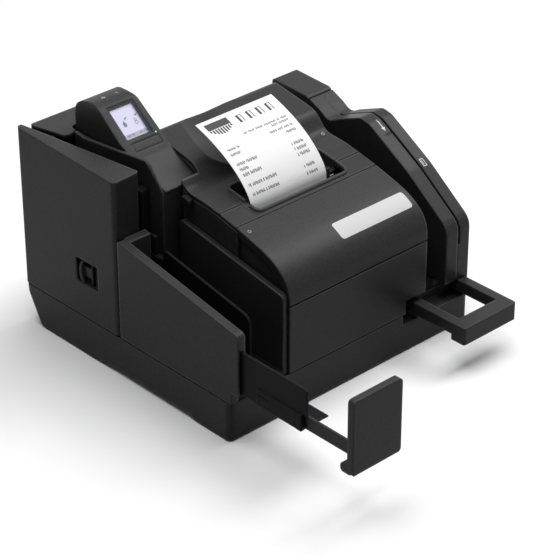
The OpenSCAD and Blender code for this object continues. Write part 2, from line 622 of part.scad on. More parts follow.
module head_bracket() color(metal_c) up() difference() {
  union() {
    block([paper_x - 46, 58.4, 34.3], [paper_x + 46, 60.4, 134]);
    for (x = [-46, 44]) side(paper_x + x, paper_x + x + 2, [[60.4, 34.3], [60.4, 132], [66, 132],
      [88, 60], [88, 34.3]]);
  }
  for (x = [-30, 0, 30]) face(58, 61, soft([[paper_x + x - 11, 50, 4], [paper_x + x + 11, 50, 4],
    [paper_x + x + 11, 100, 4], [paper_x + x - 11, 100, 4]]));
}

module print_head() color(metal_c) up() side(paper_x - 42, paper_x + 42, [[60.6, 110], [60.6, 131],
  [66, 131], [66, 128.6], [64, 128.6], [64, 126.2], [69.8, 126.2], [72.2, 124], [72.2, 113], [70, 110],
  [68, 110], [68, 119.6], [66, 119.6], [66, 110], [64, 110], [64, 119.6], [62, 119.6], [62, 110]]);

module cutter_blade() color(metal_c) up() plan(133, 134.6, concat([[paper_x - 42, 62.4]],
  [for (i = [0 : 12]) [paper_x - 42 + 7 * i, i % 2 == 0 ? 68.4 : 69.6]], [[paper_x + 42, 62.4]]));

module cover_lever() color(dark_c) up() {
  side(55.6, 60.6, soft([[106.4, 140, 1], [107, 143.4, 1], [115.4, 145.2, 1.2], [116, 142, 1],
    [114, 137, 2], [109.4, 137, 2]]));
  rod_x(60, 64, 112, 139.5, 1.5);
}

module cartridge_holder() color(dark_c) up() difference() {
  block([mid_x - 27, 20, 34.3], [mid_x + 27, 58.2, 74]);
  block([mid_x - 24, 23, 44], [mid_x + 24, 55, 80]);
  face(19, 24, soft([[mid_x - 15, 56, 5], [mid_x + 15, 56, 5], [mid_x + 15, 90], [mid_x - 15, 90]]));
}
module ink_cartridge() color(case_c) up() {
  side(mid_x - 23.7, mid_x + 23.7, soft([[23.4, 44.2, 1], [23.4, 96, 6], [38, 100, 4],
    [54.6, 100, 2], [54.6, 44.2, 1]]));
}

// Feeder and card reader
module reader_half(x0, x1) difference() {
  side(right + x0, right + x1, reader_line);
  block([right + 230, 159.8, 127.2], [right + 262, rear + 206, 160]);
  block([right + 230, -1, 33], [right + 257, 15, 42]);
}
module lid_lug(x0, x1) difference() {
  union() {
    rod_x(right + x0, right + x1, rear + 201.2, 130.8, 2.4);
    block([right + x0, rear + 198.8, 122], [right + x1, rear + 203.6, 130.8]);
  }
  rod_x(right + x0 - 1, right + x1 + 1, rear + 201.2, 130.8, 1.26);
}

module feeder_wall() color(case_c) up() {
  difference() {
    reader_half(234, 247);
    block([right + 240.4, 77.6, 133.6], [right + 248, 90.4, 145.4]);
    rod_z(59.4, 114.6, right + 238, 128, 7.2);
    rod_z(45, 120, right + 238, 128, 2.06);
    block([right + 233, 167.7, 41.7], [right + 243.7, 184.3, 130]);
    block([right + 233, 187.7, 43.7], [right + 243.7, 197.3, 130]);
  }
  lid_lug(238.5, 242);
}

module reader_shell() color(case_c) up() {
  difference() {
    reader_half(247, 260);
    side(right + 246, right + 247 + slot_w, [[138.5, 170], [138.5, 138.6 - slot_d],
      [110, 149 - slot_d], [101, 156 - slot_d], [91, 153 - slot_d], [47, 126 - slot_d],
      [19, 88], [16, 74], [-5, 74], [-5, 170]]);
    block([right + 248, 10, 30.7], [right + 257, 90, 42]);
  }
  lid_lug(252.3, 255.7);
}

module reader_head() color(metal_c) up() {
  block([right + 241.4, 78, 134], [right + 246.6, 90, 145]);
  face(81, 87, soft([[right + 246.6, 136], [right + 246.6, 144], [right + 247.8, 143, 1],
    [right + 247.8, 137, 1]]));
}

module right_rear_cover() color(case_c) up() {
  difference() {
    side(right + 233.6, right + 259.8, soft([[rear + 204.4, 128, 3], [rear + 204.4, 154.2, 2.5],
      [163.5, 152.6, 2], [160.9, 151, 1], [160.9, 128]]));
    block([right + 236.2, 162.8, 127], [right + 257.2, rear + 201.6, 150]);
    for (x = [238.1, 251.9]) block([right + x, rear + 198, 127], [right + x + 4.3, rear + 205, 134]);
  }
  rod_x(right + 236, right + 258, rear + 201.2, 130.8, 1.2);
}

module right_image_sensor() color(dark_c) up() difference() {
  block([right + 234.4, 168, 42], [right + 243.4, 184, 126.4]);
  block([right + 233, 173, 47], [right + 235.4, 179, 121]);
}

// head that reads the magnetic ink, on its leaf spring
module magnetic_head() color(metal_c) up() {
  face(188, 197, soft([[right + 234.3, 46, 1], [right + 234.3, 58, 1], [right + 241.2, 60],
    [right + 241.2, 44]]));
  block([right + 241.2, 190, 44], [right + 242, 195, 124]);
}

module feeder_floor() color(dark_c) up() difference() {
  block([right + 209.8, 15, 34.3], [right + 233.8, 151.8, 41.6]);
  rod_z(33, 43, right + 215.4, 118, 1.56);
}
module feeder_inner_wall() color(dark_c) up() difference() {
  union() {
    plan(41.6, 112, [[right + 209.8, 15], [right + 212, 15], [right + 212, 126], [right + 230.4, 147],
      [right + 230.4, 151.8], [right + 209.8, 151.8]]);
    block([right + 211, 115, 109], [right + 218.4, 121, 112]);
  }
  rod_z(108, 113, right + 215.4, 118, 1.56);
}
module feeder_pusher() color(dark_c) up() {
  rod_z(35, 111.8, right + 215.4, 118, 1.5);
  plan(44, 108.6, soft([[right + 214.2, 118], [right + 213, 34, 1.5], [right + 214.6, 30, 1],
    [right + 216.6, 34, 1.5],
    [right + 216.6, 118]]));
}

module feeder_support() color(case_c) up() difference() {
  union() {
    for (x = [197.2, 248.4]) block([right + x, 6 - support_reach, 31.1],
      [right + x + 8.4, 84 - support_reach, 41.4]);
    plan(26, 41.4, soft([[right + 197.2, -support_reach, 2], [right + 256.8, -support_reach, 2],
      [right + 256.8, 14 - support_reach], [right + 197.2, 14 - support_reach]]));
  }
  block([right + 200, 2.5 - support_reach, 24], [right + 254, 11.5 - support_reach, 38]);
}

module pick_roller() color(rubber_c) up() {
  rod_z(45.2, 119.8, right + 238, 128, 2);
  rod_z(60, 114, right + 238, 128, 6.6);
}

base_housing();
rubber_feet();
deck_plate();
main_board();
connector_panel();
port_sockets();
power_switch();
left_side_cover();
left_cover_guide();
left_image_sensor();
left_pinch_rollers();
cover_latch();
left_casing();
path_inner_guide();
left_drive_rollers();
hood();
hood_window();
display_module();
menu_key();
rear_casing();
rear_inner_casing();
rear_top_cover();
rear_drive_rollers();
pocket_outer_panel();
pocket_floor();
pocket_inner_wall();
pocket_divider();
pocket_gate();
pocket_tray();
pocket_stopper();
front_fascia();
printer_case();
front_bezel();
front_cover();
paper_tub();
roll_cover();
platen_roller();
platen_gear();
drive_gear();
paper_motor();
head_bracket();
print_head();
cutter_blade();
cover_lever();
paper_roll();
receipt();
cartridge_holder();
ink_cartridge();
feeder_wall();
reader_shell();
reader_head();
right_rear_cover();
right_image_sensor();
magnetic_head();
feeder_floor();
feeder_inner_wall();
feeder_support();
feeder_pusher();
pick_roller();
right_feed_rollers();
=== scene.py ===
"""Looks of the desktop cheque scanner: finishes, printed marks, studio and camera."""

import json
import math

import bpy
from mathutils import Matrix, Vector
from mathutils.bvhtree import BVHTree


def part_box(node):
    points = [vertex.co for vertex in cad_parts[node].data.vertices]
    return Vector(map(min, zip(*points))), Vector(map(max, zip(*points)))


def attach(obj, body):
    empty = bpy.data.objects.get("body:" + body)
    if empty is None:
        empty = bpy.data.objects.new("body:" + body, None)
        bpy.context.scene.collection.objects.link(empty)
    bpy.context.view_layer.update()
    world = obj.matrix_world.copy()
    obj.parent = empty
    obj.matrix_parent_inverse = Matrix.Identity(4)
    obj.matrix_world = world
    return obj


MM = 0.001

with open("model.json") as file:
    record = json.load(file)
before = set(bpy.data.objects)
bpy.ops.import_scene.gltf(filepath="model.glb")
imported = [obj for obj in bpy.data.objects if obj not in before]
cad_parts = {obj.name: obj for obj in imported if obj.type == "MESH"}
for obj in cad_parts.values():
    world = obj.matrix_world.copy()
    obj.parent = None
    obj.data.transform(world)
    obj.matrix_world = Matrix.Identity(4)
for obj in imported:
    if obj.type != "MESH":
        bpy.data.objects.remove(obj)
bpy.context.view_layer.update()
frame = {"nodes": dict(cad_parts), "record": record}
base_low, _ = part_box("base_housing")


def at(x, y, z):
    """A place in millimetres from the front left corner of the base, up from the table."""
    return Vector((base_low.x + x * MM, base_low.y + y * MM, z * MM))


def grey(level):
    return (level, level, level)


# Materials

# Sockets of Blender's Mix node that carry colours
COLOUR_A, COLOUR_B, COLOUR_OUT = 6, 7, 2

# The middle range of a noise, which is stretched to the range that a finish needs
NOISE_LOW, NOISE_HIGH = 0.3, 0.7
# Openness at which the painted shade of a seam is darkest, and at which it is a plain face again
PAINTED_SHADE_SHUT, PAINTED_SHADE_OPEN = 0.3, 0.8
# Rays that find each rounded edge, and each seam for its painted shade
EDGE_RAYS, PAINTED_SHADE_RAYS = 6, 8

# Scales of the patterns, in lumps per metre
PLASTIC_GRAIN, PLASTIC_CLOUDS = 850, 14
STEEL_ALONG, STEEL_ACROSS = 60, 2500
RUBBER_GRAIN = 1500
PAPER_FIBRE = 900
INK_SPECKS = 1800
SCREEN_CELLS = 3000
WINDOW_SMEARS = 60
BOARD_TRACKS, BOARD_GLOSS = 160, 200

# Colours, as linear red, green and blue
# The second colour of each plastic below is its edge colour: wear together with a painted highlight.
CASE_BLACK, CASE_WORN_LIT = (0.028, 0.028, 0.029), (0.1, 0.1, 0.103)
INNER_BLACK, INNER_WORN_LIT = (0.008, 0.008, 0.009), (0.03, 0.03, 0.032)
ACETAL, ACETAL_WORN_LIT = (0.5, 0.5, 0.51), (0.6, 0.6, 0.61)
RUBBER_BLACK, RUBBER_GROUND = (0.014, 0.014, 0.015), (0.03, 0.03, 0.032)
WINDOW_DARK, WINDOW_PALE = (0.3, 0.31, 0.34), (0.4, 0.41, 0.45)
BOARD_DARK, BOARD_PALE = (0.012, 0.12, 0.05), (0.014, 0.15, 0.06)
TRACK_GREEN = (0.03, 0.22, 0.09)
STEEL_GREY = (0.62, 0.63, 0.65)
SCREEN_BLUE = (0.58, 0.58, 0.76)


class Shader:
    """A material's node tree, with short calls that add and join nodes."""

    def __init__(self, name):
        self.material = bpy.data.materials.new(name)
        self.material.use_nodes = True
        self.tree = self.material.node_tree
        self.tree.nodes.clear()
        self.out = self.tree.nodes.new("ShaderNodeOutputMaterial")
        self.place = self.add("TexCoord")
        self.body = None

    def add(self, kind, **values):
        """A new node. Each value is a setting of the node, or else fills the input of its name."""
        node = self.tree.nodes.new("ShaderNode" + kind)
        for key, value in values.items():
            if hasattr(node, key) and key not in node.inputs:
                setattr(node, key, value)
            else:
                node.inputs[key].default_value = value
        return node

    def join(self, a, a_socket, b, b_socket):
        """Links an output of a to an input of b, and returns b."""
        self.tree.links.new(a.outputs[a_socket], b.inputs[b_socket])
        return b

    def noise(self, scale, detail=4.0, roughness=0.6):
        """Noise in the object's own metres; scale is lumps per metre."""
        node = self.add("TexNoise", Scale=scale, Detail=detail, Roughness=roughness)
        return self.join(self.place, "Object", node, "Vector")

    def ramp(self, start, end):
        """A Map Range node that goes from 0 to 1 as its value goes from start to end."""
        node = self.add("MapRange")
        node.inputs["From Min"].default_value = start
        node.inputs["From Max"].default_value = end
        return node

    def spread(self, noise, low, high):
        """A noise's middle range stretched to the range low to high."""
        node = self.ramp(NOISE_LOW, NOISE_HIGH)
        node.inputs["To Min"].default_value = low
        node.inputs["To Max"].default_value = high
        return self.join(noise, "Fac", node, "Value")

    def soft_edges(self, radius):
        node = self.add("Bevel", Radius=radius)
        node.samples = EDGE_RAYS
        return node

    def worn_and_lit_edges(self, bevel, gain):
        """A mask of edge wear and painted highlight: 1 along convex and concave edges, falling to 0 on
        the faces.
        """
        geometry = self.add("NewGeometry")
        dot = self.add("VectorMath", operation="DOT_PRODUCT")
        self.join(bevel, "Normal", dot, 0)
        self.join(geometry, "Normal", dot, 1)
        return self.join(dot, "Value", self.ramp(1.0, 1.0 - gain), "Value")

    def painted_crevice_shade(self, reach):
        """A mask of painted shade: 0 deep in seams and corners, rising to 1 on open faces."""
        node = self.add("AmbientOcclusion", Distance=reach)
        node.samples = PAINTED_SHADE_RAYS
        return self.join(node, "AO", self.ramp(PAINTED_SHADE_SHUT, PAINTED_SHADE_OPEN), "Value")

    def mix(self, factor, low, high):
        """Colour from low to high as a Map Range node runs from 0 to 1."""
        node = self.add("Mix", data_type="RGBA")
        node.inputs[COLOUR_A].default_value = (*low, 1)
        node.inputs[COLOUR_B].default_value = (*high, 1)
        return self.join(factor, "Result", node, 0)

    def mottled(self, noise, colour, dimmest):
        """The colour, which the noise dims down to the share dimmest of it."""
        return self.mix(self.spread(noise, 0, 1), [c * dimmest for c in colour], colour)

    def multiply(self, a, b):
        node = self.add("Mix", data_type="RGBA", blend_type="MULTIPLY")
        node.inputs[0].default_value = 1
        self.join(a, COLOUR_OUT, node, COLOUR_A)
        return self.join(b, COLOUR_OUT, node, COLOUR_B)

    def bump(self, height, depth, strength, bevel=None):
        node = self.add("Bump", Strength=strength, Distance=depth)
        if bevel:
            self.join(bevel, "Normal", node, "Normal")
        return self.join(height, "Fac", node, "Height")

    def surface(self, colour, rough, bump=None, **values):
        """Ends the tree with a Principled surface and returns the material."""
        self.body = self.add("BsdfPrincipled", **values)
        if colour:
            self.join(colour, COLOUR_OUT, self.body, "Base Color")
        self.join(rough, "Result", self.body, "Roughness")
        if bump:
            self.join(bump, "Normal", self.body, "Normal")
        self.join(self.body, 0, self.out, "Surface")
        return self.material


def grained_plastic(name, colour, edge_worn_lit, rough, gloss, edge=2.4 * MM):
    """Moulded plastic with a spark-eroded grain, paler on its edges from wear and a painted highlight,
    with painted shade in its seams.
    """
    s = Shader(name)
    fine = s.noise(PLASTIC_GRAIN, detail=3)
    broad = s.noise(PLASTIC_CLOUDS, detail=5)
    bevel = s.soft_edges(edge)
    # Edge wear and painted highlight: the colour pales towards the edge colour along the edges.
    tint = s.mix(s.worn_and_lit_edges(bevel, gain=0.35), colour, edge_worn_lit)
    speckled = s.multiply(tint, s.mix(s.spread(fine, 0, 1), grey(0.7), grey(1.3)))
    clouded = s.multiply(speckled, s.mix(s.spread(broad, 0, 1), grey(0.94), grey(1.06)))
    # Painted shade: the colour darkens to 6 percent of itself deep in seams and corners.
    with_painted_shade = s.multiply(clouded, s.mix(s.painted_crevice_shade(reach=3 * MM), grey(0.06), grey(1.0)))
    grain = s.bump(fine, depth=0.06 * MM, strength=0.6, bevel=bevel)
    rough_spread = s.spread(broad, rough - 0.04, rough + 0.05)
    return s.surface(with_painted_shade, rough_spread, grain, IOR=1.35, **{"Specular IOR Level": gloss})


def brushed_metal(name, colour, rough):
    """Plated sheet steel with a fine grain along X."""
    s = Shader(name)
    stretch = s.add("Mapping")
    stretch.inputs["Scale"].default_value = (STEEL_ALONG, STEEL_ACROSS, STEEL_ACROSS)
    s.join(s.place, "Object", stretch, "Vector")
    grain = s.add("TexNoise", Scale=1.0, Detail=3.0)
    s.join(stretch, "Vector", grain, "Vector")
    bump = s.bump(grain, depth=0.01 * MM, strength=0.25, bevel=s.soft_edges(0.3 * MM))
    tint = s.mottled(grain, colour, dimmest=0.85)
    return s.surface(tint, s.spread(grain, rough - 0.06, rough + 0.06), bump, Metallic=1.0)


def rubber(name):
    """Dull black rubber with ground streaks."""
    s = Shader(name)
    fine = s.noise(RUBBER_GRAIN, detail=3)
    bump = s.bump(fine, depth=0.03 * MM, strength=0.6, bevel=s.soft_edges(0.4 * MM))
    tint = s.mix(s.spread(fine, 0, 1), RUBBER_BLACK, RUBBER_GROUND)
    return s.surface(tint, s.spread(fine, 0.75, 0.9), bump)


def paper(name, colour, through=0.0):
    """Smooth thermal paper with a faint fibre; through is the share of the light that it lets pass."""
    s = Shader(name)
    fibre = s.noise(PAPER_FIBRE, detail=6, roughness=0.7)
    tint = s.mottled(fibre, colour, dimmest=0.97)
    rough_spread = s.spread(fibre, 0.5, 0.62)
    material = s.surface(tint, rough_spread, s.bump(fibre, depth=0.01 * MM, strength=0.3))
    if through:
        passed = s.add("BsdfTranslucent")
        s.join(tint, COLOUR_OUT, passed, "Color")
        mix = s.add("MixShader")
        mix.inputs[0].default_value = through
        s.join(s.body, 0, mix, 1)
        s.join(passed, 0, mix, 2)
        s.join(mix, 0, s.out, "Surface")
    return material


def ink(name, colour):
    """A printed mark, slightly uneven."""
    s = Shader(name)
    specks = s.noise(INK_SPECKS, detail=2)
    tint = s.mottled(specks, colour, dimmest=0.93)
    return s.surface(tint, s.spread(specks, 0.55, 0.65))


def lit_screen(name, colour, glow):
    """A backlit display, slightly uneven from cell to cell."""
    s = Shader(name)
    cells = s.noise(SCREEN_CELLS, detail=1)
    tint = s.mottled(cells, colour, dimmest=0.96)
    material = s.surface(tint, s.spread(cells, 0.3, 0.4))
    s.join(tint, COLOUR_OUT, s.body, "Emission Color")
    s.body.inputs["Emission Strength"].default_value = glow
    return material


def clear_window(name):
    """Hard-coated clear plastic with faint smears."""
    s = Shader(name)
    smears = s.noise(WINDOW_SMEARS)
    tint = s.mix(s.spread(smears, 0, 1), WINDOW_DARK, WINDOW_PALE)
    values = {"Alpha": 0.06, "Specular IOR Level": 0.15}
    return s.surface(tint, s.spread(smears, 0.12, 0.2), **values)


def circuit_board(name):
    """Green lacquer over copper tracks."""
    s = Shader(name)
    tracks = s.add("TexBrick", Scale=BOARD_TRACKS)
    s.join(s.place, "Object", tracks, "Vector")
    tracks.inputs["Color1"].default_value = (*BOARD_DARK, 1)
    tracks.inputs["Color2"].default_value = (*BOARD_PALE, 1)
    tracks.inputs["Mortar"].default_value = (*TRACK_GREEN, 1)
    material = s.surface(None, s.spread(s.noise(BOARD_GLOSS), 0.3, 0.4))
    s.join(tracks, "Color", s.body, "Base Color")
    return material


# Finish of each material slot of the model
FINISHES = {
    "case": grained_plastic("case_plastic", CASE_BLACK, CASE_WORN_LIT, rough=0.36, gloss=0.22),
    "dark": grained_plastic("inner_plastic", INNER_BLACK, INNER_WORN_LIT, rough=0.5, gloss=0.12),
    "steel": brushed_metal("plated_steel", STEEL_GREY, rough=0.34),
    "rubber": rubber("black_rubber"),
    "gear": grained_plastic("acetal", ACETAL, ACETAL_WORN_LIT, rough=0.4, gloss=0.4, edge=0.2 * MM),
    "board": circuit_board("circuit_board"),
    "paper": paper("receipt_paper", grey(0.86)),
    "screen": lit_screen("display", SCREEN_BLUE, glow=0.12),
    "window": clear_window("display_window"),
}
white_ink = ink("white_ink", (0.62, 0.62, 0.64))
grey_ink = ink("grey_ink", (0.3, 0.3, 0.31))
dull_black = ink("dull_black", (0.012, 0.012, 0.013))
black_ink = ink("black_ink", (0.006, 0.006, 0.008))
screen_ink = lit_screen("screen_ink", (0.1, 0.1, 0.13), glow=0.1)
screen_band = lit_screen("screen_band", (0.34, 0.34, 0.42), glow=0.1)
status_glow = lit_screen("status_light", (0.6, 0.62, 0.6), glow=0.2)
label_film = paper("label_film", grey(0.56))
# Parts with a finish of their own
PART_FINISHES = {"receipt": paper("receipt_sheet", grey(0.97), through=0.24)}


def dress_nodes():
    """Gives each part of the model its own finish, or else that of its slot."""
    for entry in frame["record"]["subparts"]:
        name, slot = entry["node"], entry["material_slot"]
        materials = frame["nodes"][name].data.materials
        materials.clear()
        materials.append(PART_FINISHES.get(name, FINISHES[slot]))


# Printed marks

INK_LIFT = 0.06 * MM
# A height above every part, in millimetres, from which marks are dropped onto their part
ABOVE_ALL = 400
DISC_SIDES = 20
# A round corner's steps in degrees, and the columns between two round corners
CORNER_STEP, STRAIGHT_COLUMNS = 15, 12


class Print:
    """A thin print laid on a part of the model from above. Shapes are given in X and Y, as at()
    takes them."""

    def __init__(self, name, node, finish, body, slot):
        self.name, self.finish, self.body, self.slot = name, finish, body, slot
        mesh = frame["nodes"][node].data
        corners = [v.co.copy() for v in mesh.vertices]
        self.tree = BVHTree.FromPolygons(corners, [list(p.vertices) for p in mesh.polygons])
        self.points, self.faces = [], []

    def drop(self, x, y):
        """The point of the part's upper side at x and y, lifted by the print's thickness."""
        hit, normal, _, _ = self.tree.ray_cast(at(x, y, ABOVE_ALL), Vector((0, 0, -1)))
        normal = normal if normal.z > 0 else -normal
        return hit + normal * INK_LIFT

    def columns(self, xs, low, high, rows=1):
        """Columns of faces at each x, from low(x) to high(x) in Y."""
        first = len(self.points)
        for x in xs:
            for k in range(rows + 1):
                y = low(x) + (high(x) - low(x)) * k / rows
                self.points.append(self.drop(x, y))
        for i in range(len(xs) - 1):
            for k in range(rows):
                a = first + i * (rows + 1) + k
                self.faces.append((a, a + rows + 1, a + rows + 2, a + 1))

    def bar(self, x0, y0, x1, y1, rows=1):
        """A rectangle from its low corner x0, y0 to its high corner x1, y1."""
        self.columns([x0, x1], lambda x: y0, lambda x: y1, rows)

    def rounded(self, x0, y0, x1, y1, r, rows):
        """A rectangle with round corners."""
        steps = [r * (1 - math.cos(math.radians(a))) for a in range(0, 91, CORNER_STEP)]
        straight = x1 - x0 - 2 * r
        middle = [x0 + r + straight * k / STRAIGHT_COLUMNS for k in range(1, STRAIGHT_COLUMNS)]
        xs = [x0 + t for t in steps] + middle + [x1 - t for t in reversed(steps)]

        def inset(x):
            reach = max(0, r - (x - x0), r - (x1 - x))
            return r - math.sqrt(max(0, r * r - reach * reach))

        self.columns(xs, lambda x: y0 + inset(x), lambda x: y1 - inset(x), rows)

    def disc(self, x, y, rx, ry, hole=0.0):
        """A disc, or a ring where hole is the share of its radius that is open."""
        first = len(self.points)
        for share in (1.0, hole):
            for k in range(DISC_SIDES):
                a = 2 * math.pi * k / DISC_SIDES
                dx, dy = rx * share * math.cos(a), ry * share * math.sin(a)
                self.points.append(self.drop(x + dx, y + dy))
        for k in range(DISC_SIDES):
            a, b = first + k, first + (k + 1) % DISC_SIDES
            self.faces.append((a, b, b + DISC_SIDES, a + DISC_SIDES))

    def outline(self, x0, y0, x1, y1, t):
        """The outline of a rectangle, t wide."""
        self.bar(x0, y0, x1, y0 + t)
        self.bar(x0, y1 - t, x1, y1)
        self.bar(x0, y0 + t, x0 + t, y1 - t)
        self.bar(x1 - t, y0 + t, x1, y1 - t)

    def finished(self):
        """Makes the print a piece that rides with its part's body."""
        mesh = bpy.data.meshes.new(self.name)
        mesh.from_pydata([tuple(p) for p in self.points], [], self.faces)
        mesh.materials.append(self.finish)
        piece = bpy.data.objects.new(self.name, mesh)
        bpy.context.scene.collection.objects.link(piece)
        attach(piece, self.body)


LABEL_BOX = (127.8, 11.8, 204.4, 25.6)
LABEL_CORNER = 2.4
# Enough rows for the label to follow the cover's curve
LABEL_ROWS = 16


def front_label():
    """The blank white sticker on the printer's front cover."""
    label = Print("front_label", "front_cover", label_film, "printer_front", "paper")
    label.rounded(*LABEL_BOX, LABEL_CORNER, LABEL_ROWS)
    label.finished()


# Rings and dots: the middle in X and Y, the two radii and, for a ring, the share that is open
FRONT_COVER_RING = (66.6, 50.2, 1.5, 1.5, 0.62)
ROLL_COVER_RING = (203.2, 112.2, 1.4, 1.5, 0.6)
HOOD_RING = (52.4, 201.8, 1.9, 1.4, 0.35)
STATUS_DOT = (73, 164.2, 0.6, 0.55)
# The stroke's low and high corner
HOOD_STROKE = (65.4, 199.8, 66.1, 203.4)


def cover_marks():
    """The small ring on each of the printer's two covers."""
    marks = Print("front_cover_mark", "front_cover", grey_ink, "printer_front", "paper")
    marks.disc(*FRONT_COVER_RING)
    marks.finished()
    marks = Print("roll_cover_mark", "roll_cover", grey_ink, "printer_lid", "paper")
    marks.disc(*ROLL_COVER_RING)
    marks.finished()


def hood_marks():
    """The ring and the stroke on top of the hood, and the status light beside the display."""
    marks = Print("hood_icons", "hood", grey_ink, "chassis", "paper")
    marks.disc(*HOOD_RING)
    marks.bar(*HOOD_STROKE)
    marks.finished()
    light = Print("status_light", "hood", status_glow, "chassis", "screen")
    light.disc(*STATUS_DOT)
    light.finished()


# The arrow's middle in X, then its tip, neck and tail in Y, and half the widths of shaft and head
ARROW_X, ARROW_TIP, ARROW_NECK, ARROW_TAIL = 243.1, 81.4, 84.6, 92
ARROW_SHAFT, ARROW_HEAD = 0.5, 1.7
# How far the head's edges fall back in Y for each step in X
ARROW_SLOPE = 1.7
# The card's low and high corner, its line's width, and the corners of the stripe inside it
CARD_BOX = (251.6, 45.8, 255.4, 52)
CARD_LINE = 0.6
CARD_STRIPE = (252.7, 47.2, 253.3, 50.6)


def reader_marks():
    """The arrow that gives the direction of the cheques, and the outline of a card."""
    arrow = Print("feed_arrow", "feeder_wall", white_ink, "chassis", "paper")
    arrow.bar(ARROW_X - ARROW_SHAFT, ARROW_NECK, ARROW_X + ARROW_SHAFT, ARROW_TAIL, rows=4)
    arrow.columns(
        [ARROW_X - ARROW_HEAD, ARROW_X, ARROW_X + ARROW_HEAD],
        lambda x: ARROW_TIP + abs(x - ARROW_X) * ARROW_SLOPE,
        lambda x: ARROW_NECK,
        rows=2,
    )
    arrow.finished()
    card = Print("card_outline", "reader_shell", white_ink, "chassis", "paper")
    card.outline(*CARD_BOX, CARD_LINE)
    card.bar(*CARD_STRIPE)
    card.finished()


# The display's lit field, and the dark border round it
FIELD_LEFT, FIELD_LOW, FIELD_RIGHT, FIELD_HIGH = 48, 168.4, 71, 189.8
BORDER_LEFT, BORDER_LOW, BORDER_RIGHT, BORDER_HIGH = 44.6, 165.8, 71.4, 190.2
# Top of the darker band along the field's foot
BAND_HIGH = 171.6
# Foot and top of the marks in the band, then the left end and the width of each
BAND_MARKS_LOW, BAND_MARKS_HIGH = 169.8, 170.7
BAND_MARKS = ((50.2, 3.4), (54.8, 2.2), (62, 3), (66, 1.4), (68.4, 1.6))
# Middles of the drop and of the lower ring, and the corner of each tick
DROP_AT, RINGS_AT, TICKS_AT = (54, 177.8), (64.7, 177), ((56.4, 180.9), (66.8, 181))
# The drop's radii, then its point: half its width, foot, top and slope from the drop's middle
DROP_RADII = (1.7, 1.5)
POINT_HALF, POINT_LOW, POINT_HIGH, POINT_SLOPE = 1.5, 0.6, 3.2, 1.6
# Each ring's radii and open share, and where the upper one is from the lower one
UPPER_RING, LOWER_RING = (1.3, 1.1, 0.6), (1.7, 1.3, 0.65)
UPPER_RING_X, UPPER_RING_Y = 0.2, 2.2
# The tick's short stroke from its corner, then its long stroke's length, thickness and slope
SHORT_LEFT, SHORT_RIGHT, SHORT_HIGH = 0.4, 0.3, 1.6
LONG_LENGTH, LONG_THICK, LONG_SLOPE = 2.6, 0.8, 0.5


def drop_icon(icons, x, y):
    """A disc that runs up to a point."""
    icons.disc(x, y, *DROP_RADII)
    icons.columns(
        [x - POINT_HALF, x, x + POINT_HALF],
        lambda u: y + POINT_LOW,
        lambda u: y + POINT_HIGH - abs(u - x) * POINT_SLOPE,
    )


def rings_icon(icons, x, y):
    """A small ring above a larger one."""
    icons.disc(x + UPPER_RING_X, y + UPPER_RING_Y, *UPPER_RING)
    icons.disc(x, y, *LOWER_RING)


def tick_icon(icons, x, y):
    """A short upright stroke, and a long one that climbs to the right."""
    icons.bar(x - SHORT_LEFT, y, x + SHORT_RIGHT, y + SHORT_HIGH)
    icons.columns(
        [x, x + LONG_LENGTH],
        lambda u: y + (u - x) * LONG_SLOPE,
        lambda u: y + LONG_THICK + (u - x) * LONG_SLOPE,
    )


def screen_icons():
    """Plain icons of an idle display: a drop, two rings, two ticks and a band of short marks."""
    border = Print("display_border", "display_module", dull_black, "chassis", "screen")
    border.bar(BORDER_LEFT, BORDER_LOW, FIELD_LEFT, BORDER_HIGH, rows=2)
    border.bar(FIELD_LEFT, BORDER_LOW, BORDER_RIGHT, FIELD_LOW)
    border.bar(FIELD_LEFT, FIELD_HIGH, BORDER_RIGHT, BORDER_HIGH)
    border.bar(FIELD_RIGHT, FIELD_LOW, BORDER_RIGHT, FIELD_HIGH)
    border.finished()
    band = Print("display_band", "display_module", screen_band, "chassis", "screen")
    band.bar(FIELD_LEFT, FIELD_LOW, FIELD_RIGHT, BAND_HIGH)
    band.finished()
    icons = Print("display_icons", "display_module", screen_ink, "chassis", "screen")
    drop_icon(icons, *DROP_AT)
    rings_icon(icons, *RINGS_AT)
    for place in TICKS_AT:
        tick_icon(icons, *place)
    icons.finished()
    marks = Print("band_marks", "display_module", screen_ink, "chassis", "screen")
    for x, wide in BAND_MARKS:
        marks.bar(x, BAND_MARKS_LOW, x + wide, BAND_MARKS_HIGH)
    marks.finished()


RECEIPT_LEFT, RECEIPT_RIGHT = 94, 163
# From one stroke of a word to the next
STROKE_PITCH = 1.25
# A stroke's width, a wide one's extra and the end of a foot, as shares of the pitch
STROKE_WIDTH, WIDE_EXTRA, FOOT_END = 0.5, 0.12, 0.8
# The part of its height that is cut off a stroke, and that a foot has
CUT_HEIGHT, FOOT_HEIGHT = 0.25, 0.3
STROKE_KINDS = 4
FOOTED, CUT_BELOW, WIDE, CUT_ABOVE = range(STROKE_KINDS)
# Steps by which a row's seed, a stroke's number and a word's length pick the kind of stroke
SEED_STEP, STROKE_STEP, LENGTH_STEP = 7, 5, 3

EMBLEM_BOX = (RECEIPT_LEFT, 119.4, RECEIPT_LEFT + 23, 132.4)
# Bars on each side of the half sun's middle one, the turn from bar to bar in degrees, their
# pitch, half a bar's width, and the gap under the block
SUN_SIDE, SUN_TURN, SUN_PITCH, SUN_HALF, SUN_GAP = 4, 17, 2.6, 0.8, 0.5
# The heading's left end and foot, its height, and the pitch and number of its pairs
HEADING_X, HEADING_Y, HEADING_TALL, PAIR_PITCH, PAIRS = 124.6, 122.6, 7.6, 10.2, 4
# The thick stroke's end, the thin one's start and end, and the height of the bar on top
THICK_END, THIN_START, THIN_END, PAIR_TOP = 2.2, 4.4, 5.2, 0.5

